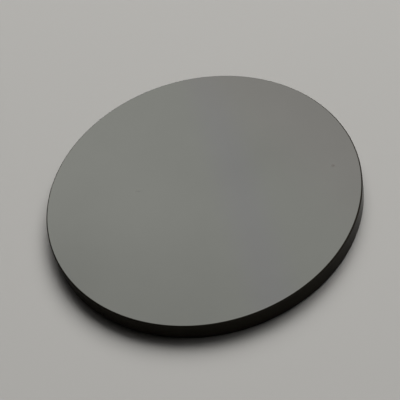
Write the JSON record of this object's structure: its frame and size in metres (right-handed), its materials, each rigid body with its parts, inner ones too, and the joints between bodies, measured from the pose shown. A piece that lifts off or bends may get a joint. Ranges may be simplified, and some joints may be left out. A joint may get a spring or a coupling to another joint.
{
  "type": "silicon wafer",
  "caption": "Thick round silicon disc with a polished front face, a lapped back face, a ground rim and narrow chamfers.",
  "frame": {"origin": "centre of the lapped back face, which the wafer lies on", "axes": "+Z out of the polished front face, along the disc's axis; the disc is round, so X and Y are any two square directions in the back face"},
  "size_m": [0.0508, 0.0508, 0.0032],
  "materials": {
    "silicon": "satin"
  },
  "bodies": {
    "root": {"wafer": "silicon"}
  },
  "joints": []
}
